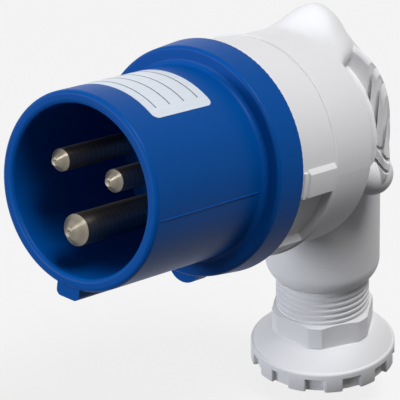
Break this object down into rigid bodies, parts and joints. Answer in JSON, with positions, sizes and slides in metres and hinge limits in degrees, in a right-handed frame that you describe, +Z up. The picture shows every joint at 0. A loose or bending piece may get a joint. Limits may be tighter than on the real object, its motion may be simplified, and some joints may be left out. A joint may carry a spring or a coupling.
{
  "type": "industrial plug",
  "caption": "Angled industrial plug: blue keyed shroud around earthed pins, pale locking ring, raked elbow with hood and ribbed finger wings, and a screw cable gland with hand wheel.",
  "frame": {"origin": "centre of the shroud's mouth, on the plug axis", "axes": "-Y out of the mouth towards the socket, +Z up with the earth pin at the bottom, +X to the left of someone who holds the plug and looks along -Y"},
  "size_m": [0.053, 0.1178, 0.0959],
  "materials": {
    "blue_moulding": "moulded polyamide, satin gloss",
    "pale_moulding": "moulded polyamide, satin gloss",
    "plated_contact": "nickel plated, turned",
    "screw_steel": "zinc plated",
    "retainer_moulding": "moulded, dull",
    "seal_rubber": "moulded rubber",
    "slip_ring": "moulded, smooth"
  },
  "bodies": {
    "plug": {"contact_carrier": "blue_moulding", "line_pin": "plated_contact", "line_terminal_screw": "screw_steel", "neutral_pin": "plated_contact", "neutral_terminal_screw": "screw_steel", "earth_pin": "plated_contact", "earth_terminal_screw": "screw_steel", "pin_retainer": "retainer_moulding", "retainer_screw": "screw_steel", "carrier_gasket": "seal_rubber", "bayonet_ring": "pale_moulding", "elbow_housing": "pale_moulding"},
    "seal_stack": {"thrust_ring": "slip_ring", "cable_seal": "seal_rubber"},
    "gland": {"gland_screw": "pale_moulding"}
  },
  "joints": [
    {"name": "gland_travel", "type": "slide", "parent": "plug", "child": "seal_stack", "axis": [0, -0.2164, 0.9763], "range_m": [-0.0046, 0.0043]},
    {"name": "gland_turn", "type": "hinge", "parent": "seal_stack", "child": "gland", "pos_m": [0, 0.09599, -0.04686], "axis": [0, -0.2164, 0.9763], "range_deg": [-1080, 1008]}
  ],
  "couplings": [
    {"joint": "gland_travel", "follows": "gland_turn", "m_per_rad": 0.00023873}
  ]
}
